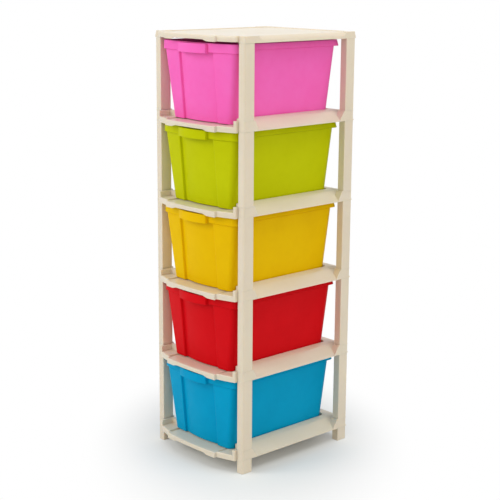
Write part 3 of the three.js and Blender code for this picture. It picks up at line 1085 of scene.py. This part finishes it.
@dataclass
class TopFrame:
    """Lid of the stack: a flat deck with a low rim, rolled sides and the same front lip."""

    unit: Unit
    height: float = 15.0
    apron_inset: float = 12.0
    apron_edge: float = 1.8
    apron_points: int = 9
    rear_edge: float = 3.0
    rear_foot_edge: float = 0.6
    tab_foot: float = 1.4
    middle_foot: float = 5.2
    end_foot: float = 2.2
    lip_edge: float = 4.5
    block_run: float = 13.0
    gusset: float = 15.0
    rim_width: float = 7.0
    rim_height: float = 2.0
    rim_corner: float = 6.0
    rim_foot: float = 0.8
    rim_edge: float = 0.7
    front_soft: float = 0.4
    front_insets: tuple[float, ...] = (5.0, 3.4, 0.6, -1.0, -1.0)
    front_points: int = 31

    def section(self) -> Points:
        """Closed outline in X and Z with a rolled apron on both sides.

        Returns:
            The outline's points.
        """
        turns = np.linspace(0, math.pi / 2, self.apron_points)
        x = self.unit.half_width - self.apron_inset * (1 - np.cos(turns))
        z = self.apron_edge + (self.height - self.apron_edge) * np.sin(turns)
        right = np.concatenate([[(self.unit.half_width, 0)], np.column_stack([x, z])])
        return np.concatenate([right, right[::-1] * (-1, 1)])

    def body(self) -> Solid:
        """Builds the top frame.

        Returns:
            The top frame with its underside at zero.
        """
        unit, top = self.unit, self.height
        deck = top - self.rim_height
        ceiling = deck - unit.shell_wall
        wide = (-unit.half_width - OVERRUN, unit.half_width + OVERRUN)
        long = (-unit.half_depth, unit.half_depth)
        side = fillet([
            (long[0], 0, 0), (long[1], 0, self.rear_foot_edge),
            (long[1], top, self.rear_edge), (long[0], top, 0),
        ], steps=5)
        outer = Solid.bar(self.section(), long, Way.ALONG)
        outer = outer & Solid.bar(side, wide, Way.ACROSS)
        lip = Lip(
            unit, self.tab_foot, self.middle_foot, self.end_foot,
            edge=self.lip_edge, roll_depth=self.lip_edge,
        )
        under = Solid.block(wide, (long[0] - unit.slide_gap, long[1]), (BELOW, 0))
        outer = outer + lip.body(top) - under
        x = unit.half_width - self.apron_inset - unit.shell_wall
        y = (unit.rail_start, unit.half_depth - unit.shell_wall)
        inner = Solid.block((-x, x), y, (-OVERRUN, ceiling))
        hollow = inner + lip.hollow(ceiling) - ribs(unit, top)
        blocks = Blocks(unit, top, (0.0,), front_run=self.block_run, gusset=self.gusset)
        whole = outer - hollow + blocks.body()
        return (whole - self.well(deck)).tidied()

    def well(self, deck: float) -> Solid:
        """What is cut from above to leave the low rim round the deck.

        Args:
            deck: height of the deck.

        Returns:
            The cutting body: a bowed front with a gentle edge, and a plain rest.
        """
        unit, lip, top = self.unit, Lip(self.unit), self.height
        end = unit.post_inner - self.rim_width
        places = np.linspace(-end, end, self.front_points)
        line = [(x, lip.face(x) + self.rim_width) for x in places]
        front = np.array(line + [(end, lip.back), (-end, lip.back)])
        soft = self.front_soft
        heights = (deck, deck + soft, top - soft, top, top + OVERRUN)
        bow = Solid.loft([
            ring(inset(front, depth), height) for height, depth in zip(heights, self.front_insets)
        ])
        x = unit.half_width - self.apron_inset - self.rim_width
        y = (-unit.half_depth + self.rim_width, unit.half_depth - self.rim_width)
        plan = rectangle((-x, x), y, (self.rim_corner,) * 4)
        foot, edge = self.rim_foot, self.rim_edge
        heights = (deck, deck + foot, top - edge, top, top + OVERRUN)
        depths = (foot, 0.0, 0.0, -edge, -edge)
        return bow + Solid.loft([
            ring(inset(plan, depth), height) for height, depth in zip(heights, depths)
        ])

    def dress(self, body: Solid) -> None:
        """Sets the top frame up on the highest posts."""
        self.unit.piece("top_frame", body, self.unit.top_foot, IVORY, FIXED)


@dataclass
class Supports:
    """Box posts between the tiers and the feet under the lowest tray."""

    unit: Unit
    sole_edge: float = 1.1

    def post(self, foot: float, top: float) -> Solid:
        """Post for the rear right corner between two heights."""
        return Solid.bar(self.unit.corner_plan(), (foot, top))

    def foot(self, top: float) -> Solid:
        """Foot for the rear right corner, from the floor up."""
        return Solid.bar(self.unit.corner_plan(), (0.0, top), edges=(self.sole_edge, 0.0))

    def dress(self, name: str, body: Solid) -> None:
        """Sets a post or foot up at each of the four corners."""
        for corner in CORNERS:
            self.unit.piece(f"{name}_{corner.name}", corner.place(body), 0.0, IVORY, FIXED)


@dataclass
class Bin:
    """Tapered tub with a sunk front panel, a turned-down rim and a pull moulded in it.

    The rim is a plain one at the sides and the rear, and a deeper, bowed band at the front.
    The sole is two outlines of the underside, each as shares of the foot's width and length
    and a height.
    """

    unit: Unit
    height: float = 172.2
    wall: float = 1.8
    floor: float = 2.0
    floor_round: float = 0.8
    mouth_edge: float = 0.6
    foot_half: float = 99.0
    top_half: float = 121.0
    corner: float = 14.0
    rear_corner: float = 21.0
    rim_corner: float = 14.5
    front_foot: float = 8.0
    front_lean: float = 11.0
    rear_gap: float = 0.5
    rear_lean: float = 4.0
    foot_bow: float = 3.5
    top_bow: float = 10.0
    foot_round: float = 1.8
    sole: tuple[Place, ...] = ((0.88, 0.9, 0.8), (0.885, 0.905, 0.0))
    sole_shift: float = -1.0
    wall_shares: tuple[float, ...] = (0.25, 0.5, 0.75)
    panel_half: float = 57.0
    panel_slant: float = 0.4
    panel_sink: float = 6.5
    panel_bow: float = 7.0
    panel_radii: Span = (1.5, 2.7)
    panel_clear: Span = (3.0, 4.0)
    rim_proud: float = 4.5
    rim_flare: float = 2.5
    rim_height: float = 13.5
    rim_wall: float = 1.6
    rim_edge: float = 0.9
    band_proud: float = 1.5
    band_height: float = 20.0
    band_run: float = 26.0
    band_step: float = 0.4
    band_land: float = 12.0
    pull_half: float = 46.0
    pull_proud: float = 7.5
    pull_bow: float = 6.0
    pull_drop: float = 1.5
    pull_edge: float = 2.0
    pull_foot_edge: float = 0.7
    pull_corner: float = 2.4
    pull_least_corner: float = 0.6
    pull_room: float = 0.9
    pull_room_edge: float = 1.0
    panel_points: int = 15
    cheek_points: int = 8
    corner_points: int = 11
    side_points: int = 9
    rear_points: int = 6
    pull_points: int = 19

    @property
    def front_top(self) -> float:
        """Place of the front's outer ends at the top."""
        return -self.unit.half_depth + self.front_foot - self.front_lean

    @property
    def band_end(self) -> float:
        """Place along the sides where the front's deeper band ends."""
        return self.front_top + self.band_run

    def plan(
        self, share: float, grow: float = 0.0, front_grow: float = 0.0, sunk: bool = True,
    ) -> Points:
        """Outline from above at a share of the height.

        Args:
            share: of the height, from the foot.
            grow: outwards at the sides and the rear.
            front_grow: outwards at the front.
            sunk: False leaves the middle panel level with the front.

        Returns:
            The outline, counter-clockwise from the middle of the front.
        """
        unit = self.unit
        side = mix(self.foot_half, self.top_half, share) + grow
        front = -unit.half_depth + self.front_foot - self.front_lean * share - front_grow
        rear = unit.stop_face - self.rear_gap + self.rear_lean * share + grow
        radius = self.corner + grow
        rear_radius = self.rim_corner if grow > 0 else self.rear_corner
        straight = side - radius
        bow = mix(self.foot_bow, self.top_bow, share)

        def outer(x: Union[float, Points]) -> Union[float, Points]:
            """Bowed front line at X."""
            return front - bow * (1 - (x / straight) ** 2)

        turn = math.atan(2 * bow / straight)
        face = self._face(outer, straight + radius * math.sin(turn))
        if not sunk:
            face = np.column_stack([face[:, 0], outer(face[:, 0])])
        centre = face[-1][1] + radius * math.cos(turn)
        angles = np.linspace(turn - math.pi / 2, 0, self.corner_points)[1:]
        front_arc = np.column_stack([
            straight + radius * np.cos(angles), centre + radius * np.sin(angles),
        ])
        end, last = self.band_end, rear - rear_radius
        stops = np.concatenate([
            [end - self.band_step, end + self.band_step],
            np.linspace(end + self.band_land, last, self.side_points)[:-1],
        ])
        long_side = np.column_stack([np.full(len(stops), side), stops])
        angles = np.linspace(0, math.pi / 2, self.corner_points)
        turned = np.column_stack([np.cos(angles), np.sin(angles)])
        rear_arc = np.array([side, rear]) - rear_radius + rear_radius * turned
        places = np.linspace(side - rear_radius, 0, self.rear_points)[1:]
        back = np.column_stack([places, np.full(len(places), rear)])
        right = np.concatenate([face, front_arc, long_side, rear_arc, back])
        return np.concatenate([right, right[-2:0:-1] * (-1, 1)])

    def _face(self, outer: Callable[[float], float], meet: float) -> Points:
        """Right half of the front's line, with the sunk panel and its rounded step.

        Args:
            outer: gives the bowed front line at X.
            meet: X where the front's line meets its corner.

        Returns:
            The line's points, from the middle.
        """
        half, slant = self.panel_half, self.panel_slant
        step = outer(half) + self.panel_sink
        line = [
            (x, step - self.panel_bow * (1 - (x / half) ** 2), 0.0)
            for x in np.linspace(0, half - slant, self.panel_points)
        ]
        foot = len(line)
        line += [(x, outer(x), 0.0) for x in np.linspace(half + slant, meet, self.cheek_points)]
        for index, radius in zip((foot - 1, foot), self.panel_radii):
            line[index] = (*line[index][:2], radius)
        low, high = half - slant - self.panel_clear[0], half + slant + self.panel_clear[1]
        clear = [point for point in line if point[2] > 0 or not low < point[0] < high]
        return fillet(clear, closed=False)

    def _band(self, height: float) -> Points:
        """Outer line of the rim, whose sides and rear lean in towards the top.

        Args:
            height: at which the line is.

        Returns:
            The closed outline.
        """
        run = self.band_height - self.rim_edge
        share = min(1.0, (height - self.height + self.band_height) / run)
        return self.plan(1, self.rim_proud - self.rim_flare * share, self.band_proud, False)

    def _band_foot(self) -> Points:
        """Height of the rim's foot at each point of its outline, deeper at the front."""
        plan = self.plan(1, self.rim_proud, self.band_proud, False)
        return self.height - np.where(plan[:, 1] < self.band_end, self.band_height, self.rim_height)

    def _outer_rings(self) -> list[Points]:
        """Rings from the middle of the underside up the outside, to just under the rim.

        Returns:
            The rings in order.
        """
        foot, top = self.plan(0), self.height
        rings = [ring(foot * (x, y) + (0, self.sole_shift), z) for x, y, z in self.sole]
        for height, depth in rounding(0, self.foot_round, True, steps=5):
            rings.append(ring(inset(self.plan(height / top), depth), height))
        rings += [ring(self.plan(share), share * top) for share in self.wall_shares]
        return rings + [ring(self.plan(1 - self.rim_wall / top), top - self.rim_wall)]

    def _rim_rings(self) -> list[Points]:
        """Rings from under the rim down its inner face, round its foot and up to its edge.

        Returns:
            The rings in order.
        """
        top, wall, lift = self.height, self.rim_wall, self.rim_wall / 2
        lower, foot = self._band(top - self.band_height), self._band_foot()
        rings = [ring(inset(self._band(top - wall), wall), top - wall)]
        rings.append(ring(inset(lower, wall), foot + lift))
        for turn in np.linspace(math.pi, 0, 6)[1:-1]:
            depth = wall - (lift - lift * math.cos(turn))
            rings.append(ring(inset(lower, depth), foot + lift - lift * math.sin(turn)))
        rings.append(ring(lower, foot + lift))
        for height, depth in rounding(top, self.rim_edge, False, steps=5):
            rings.append(ring(inset(self._band(top), depth), height))
        return rings

    def _inner_rings(self) -> list[Points]:
        """Rings from the mouth down the inside to the floor.

        Returns:
            The rings in order.
        """
        top, rings = self.height, []
        for height, depth in reversed(rounding(top, self.mouth_edge, False, steps=3)):
            rings.append(ring(inset(self.plan(1), self.wall - depth), height))
        for share in reversed(self.wall_shares):
            rings.append(ring(inset(self.plan(share), self.wall), share * top))
        for height, depth in reversed(rounding(self.floor, self.floor_round, True, steps=3)):
            rings.append(ring(inset(self.plan(height / top), self.wall + depth), height))
        return rings

    def _pull_line(self, depth: float) -> list[Span]:
        """Front line of the pull, left to right.

        Args:
            depth: by which it is set back.

        Returns:
            The line's points.
        """
        rise = self.top_bow * (self.pull_half / self.unit.rail_inner) ** 2
        ends = self.front_top - self.band_proud - self.top_bow + rise - self.pull_proud
        bow, half = self.pull_bow + rise, self.pull_half - depth
        return [
            (x, ends - bow * (1 - (x / self.pull_half) ** 2) + depth)
            for x in np.linspace(-half, half, self.pull_points)
        ]

    def _pull(self, depth: float, back: float, run: Span, edges: Span) -> Solid:
        """Pull's outline as a body, for the pull and for the room inside it.

        Args:
            depth: by which its front and its ends are set back.
            back: how far it reaches behind the band's face.
            run: its heights.
            edges: radii of its lower and upper edge.

        Returns:
            The closed body.
        """
        front = self._pull_line(depth)
        straight, face = self.top_half - self.corner, self.front_top - self.band_proud
        behind = [
            (x, face - self.top_bow * (1 - (x / straight) ** 2) + back, 0.0)
            for x, _ in reversed(front)
        ]
        radius = max(self.pull_corner - depth, self.pull_least_corner)
        between = [(*point, 0.0) for point in front[1:-1]]
        corners = [(*front[0], radius), *between, (*front[-1], radius), *behind]
        return Solid.bar(fillet(corners, steps=5), run, edges=edges)

    def body(self) -> Solid:
        """Builds the bin.

        Returns:
            The bin with its foot at zero.
        """
        wall = self.rim_wall
        foot = self.height - self.band_height - self.pull_drop
        top = self.height - self.rim_edge
        edges = (self.pull_foot_edge, self.pull_edge)
        pull = self._pull(0.0, wall / 2, (foot, top), edges)
        run, edges = (foot - OVERRUN, top - wall), (0, self.pull_room_edge)
        room = self._pull(wall, wall + self.pull_room, run, edges)
        shell = Solid.loft(self._outer_rings() + self._rim_rings() + self._inner_rings())
        return (shell + pull - room).tidied()

    def dress(self, body: Solid, tier: int, finish: Plastic) -> None:
        """Sets a copy of the bin up as the drawer of a tier."""
        unit, drawer = self.unit, f"drawer_{tier}"
        unit.piece(drawer, body, unit.tray_foot(tier) + unit.deck + unit.slide_gap, finish, drawer)


@dataclass(frozen=True)
class Lamp:
    """Square soft lamp, with its place and size in metres and its power in watts."""

    name: str
    place: Place
    size: float
    power: float
    tint: str


LAMPS = (
    Lamp("key_lamp", (-1.2, -2.8, 2.1), 1.6, 42.5, "ffffff"),
    Lamp("side_lamp", (3.0, 0.7, 1.3), 1.8, 11.0, "fffaf0"),
    Lamp("high_lamp", (1.6, 0.6, 3.1), 1.2, 22.0, "fffdf8"),
    Lamp("top_lamp", (0.0, 0.0, 3.2), 2.4, 20.0, "f4f8ff"),
    Lamp("fill_lamp", (2.3, -2.0, 1.2), 1.6, 10.5, "fff3da"),
)


@dataclass
class Studio:
    """Camera at the photograph's place, soft lamps and a plain pale floor."""

    unit: Unit
    place: Place = (2096.6, -1943.6, 1125.6)
    yaw: float = -47.36
    pitch: float = 12.93
    roll: float = 0.387
    lens: float = 89.92
    sensor: float = 36.0
    clip_end: float = 50.0
    lamps_aim: Place = (0, 0, 0.45)
    surround: float = 0.47
    floor_half: float = 12.0
    floor_tint: tuple[float, ...] = (0.82, 0.85, 0.85, 1.0)
    fade_reach: Place = (0.40, 0.62, 1.0)
    fade: Span = (0.32, 1.0)
    # Least share of white glow on the floor for the camera, also right under the unit: painted glow
    # that lightens the unit's shadow.
    shadow_lift_glow: float = 0.07

    def build(self) -> None:
        """Makes the camera, the floor, the surroundings and the lamps."""
        self.camera()
        self.floor()
        self.world()
        for lamp in LAMPS:
            self.lamp(lamp)

    def camera(self) -> None:
        """Makes the camera and gives it to the scene."""
        yaw, pitch, roll = (math.radians(angle) for angle in (self.yaw, self.pitch, self.roll))
        level = math.cos(pitch)
        ahead = Vector((math.sin(yaw) * level, math.cos(yaw) * level, -math.sin(pitch)))
        right = Vector((math.cos(yaw), -math.sin(yaw), 0.0))
        above = right.cross(ahead)
        right, above = (
            right * math.cos(roll) + above * math.sin(roll),
            above * math.cos(roll) - right * math.sin(roll),
        )
        data = bpy.data.cameras.new("camera")
        data.sensor_width = self.sensor
        data.lens = self.lens
        data.clip_end = self.clip_end
        made = bpy.data.objects.new("camera", data)
        turn = Matrix((right, above, -ahead)).transposed().to_4x4()
        where = Vector(self.place) + Vector((0, self.unit.middle, 0))
        made.matrix_world = Matrix.Translation(where * MM) @ turn
        bpy.context.scene.collection.objects.link(made)
        bpy.context.scene.camera = made

    def lamp(self, lamp: Lamp) -> None:
        """Makes a lamp that is turned to the middle of the unit.

        Args:
            lamp: its name, place, size, power and tint.
        """
        data = bpy.data.lights.new(lamp.name, "AREA")
        data.shape = "SQUARE"
        data.size = lamp.size
        data.energy = lamp.power
        data.color = linear(lamp.tint)[:3]
        made = bpy.data.objects.new(lamp.name, data)
        made.location = lamp.place
        made.rotation_mode = "QUATERNION"
        aim = Vector(self.lamps_aim) - Vector(lamp.place)
        made.rotation_quaternion = aim.to_track_quat("-Z", "Y")
        bpy.context.scene.collection.objects.link(made)

    def world(self) -> None:
        """Even white surroundings, and plain white where the camera or a reflection sees them."""
        made = bpy.data.worlds.new("studio_white")
        bpy.context.scene.world = made
        tree = Bench(made)
        glow = self.seen(tree) * (1 - self.surround) + self.surround
        light = tree.node("ShaderNodeBackground", {}, {"Color": WHITE, "Strength": glow})
        tree.node("ShaderNodeOutputWorld", {}, {"Surface": light})

    def seen(self, tree: Bench) -> Value:
        """Mask of the rays that look.

        Args:
            tree: the bench that adds its nodes.

        Returns:
            1 where a camera, mirror or glass ray looks, and 0 elsewhere.
        """
        names = ("Is Camera Ray", "Is Glossy Ray", "Is Transmission Ray")
        camera, mirror, glass = (tree.node("ShaderNodeLightPath", {}, {}, name) for name in names)
        most = {"operation": "MAXIMUM"}
        either = tree.node("ShaderNodeMath", most, {0: camera, 1: mirror})
        return tree.node("ShaderNodeMath", most, {0: either, 1: glass})

    def floor(self) -> None:
        """Pale floor that takes a shadow lightened by painted white glow, and fades to white away
        from the unit.
        """
        half = self.floor_half
        corners = [(-half, -half, 0), (half, -half, 0), (half, half, 0), (-half, half, 0)]
        mesh = bpy.data.meshes.new("floor")
        mesh.from_pydata(corners, [], [(0, 1, 2, 3)])
        made = bpy.data.objects.new("floor", mesh)
        made.rotation_euler.z = -math.radians(self.yaw)
        bpy.context.scene.collection.objects.link(made)
        paint = bpy.data.materials.new("studio_floor")
        tree = Bench(paint)
        where = tree.node("ShaderNodeTexCoord", {}, {}, "Object")
        divided = {0: where, 1: self.fade_reach}
        spread = tree.node("ShaderNodeVectorMath", {"operation": "DIVIDE"}, divided)
        reach = tree.node("ShaderNodeVectorMath", {"operation": "LENGTH"}, {0: spread}, "Value")
        # The white share never drops below the painted glow share, so the shadow under the unit is
        # lightened by painted glow.
        away = reach.between(*self.fade) * (1 - self.shadow_lift_glow) + self.shadow_lift_glow
        matt = tree.node("ShaderNodeBsdfDiffuse", {}, {"Color": self.floor_tint})
        white = tree.node("ShaderNodeEmission", {}, {"Color": WHITE, "Strength": 1.0})
        share = away * self.seen(tree)
        both = tree.node("ShaderNodeMixShader", {}, {0: share, 1: matt, 2: white})
        tree.node("ShaderNodeOutputMaterial", {}, {"Surface": both})
        mesh.materials.append(paint)


def main() -> None:
    """Builds the studio and every piece, in order."""
    logging.basicConfig(level=logging.INFO, format="%(message)s")
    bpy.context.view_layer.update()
    bpy.context.scene.view_settings.view_transform = "Standard"
    unit = Unit()
    Studio(unit).build()
    tray, tub, supports, top_frame = Tray(unit), Bin(unit), Supports(unit), TopFrame(unit)
    tray_body, tub_body = tray.body(), tub.body()
    for tier, finish in enumerate(BIN_FINISHES, 1):
        foot = unit.tray_foot(tier)
        tray.dress(tray_body, tier)
        tub.dress(tub_body, tier, finish)
        above = unit.tray_foot(tier + 1) if tier < len(BIN_FINISHES) else unit.top_foot
        supports.dress(f"post_{tier}", supports.post(foot + tray.block_height, above))
    supports.dress("foot", supports.foot(unit.tray_foot(1)))
    top_frame.dress(top_frame.body())


if __name__ == "__main__":
    main()
